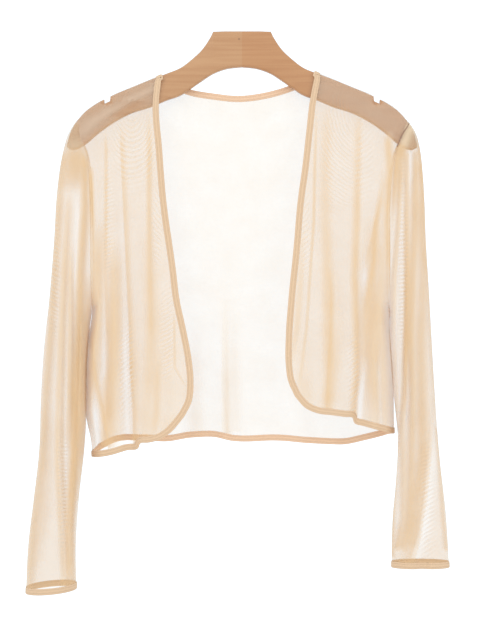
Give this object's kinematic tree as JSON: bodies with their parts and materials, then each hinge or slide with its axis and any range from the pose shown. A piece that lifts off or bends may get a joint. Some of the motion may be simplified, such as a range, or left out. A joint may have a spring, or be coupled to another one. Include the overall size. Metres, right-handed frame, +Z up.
{
  "type": "bolero jacket on a wooden hanger",
  "caption": "Sheer mesh bolero jacket with long sleeves, open rounded fronts and narrow bound edges, hanging on a contoured wooden hanger.",
  "frame": {"origin": "middle of the flat top of the hanger's hub", "axes": "+Z up, -Y the way the open front faces, +X to the right as seen from the front"},
  "size_m": [0.5274, 0.0878, 0.6984],
  "materials": {
    "sheer_mesh": "matt, see-through fine mesh",
    "self_binding": "matt, the same mesh folded in several layers",
    "wood": "satin varnish"
  },
  "bodies": {
    "root": {"hanger": "wood", "back": "sheer_mesh", "front_left": "sheer_mesh", "front_right": "sheer_mesh", "sleeve_front_left": "sheer_mesh", "sleeve_back_left": "sheer_mesh", "sleeve_front_right": "sheer_mesh", "sleeve_back_right": "sheer_mesh", "front_binding_left": "self_binding", "front_binding_right": "self_binding", "back_neck_binding": "self_binding", "back_hem_binding": "self_binding", "cuff_binding_left": "self_binding", "cuff_binding_right": "self_binding"}
  },
  "joints": []
}
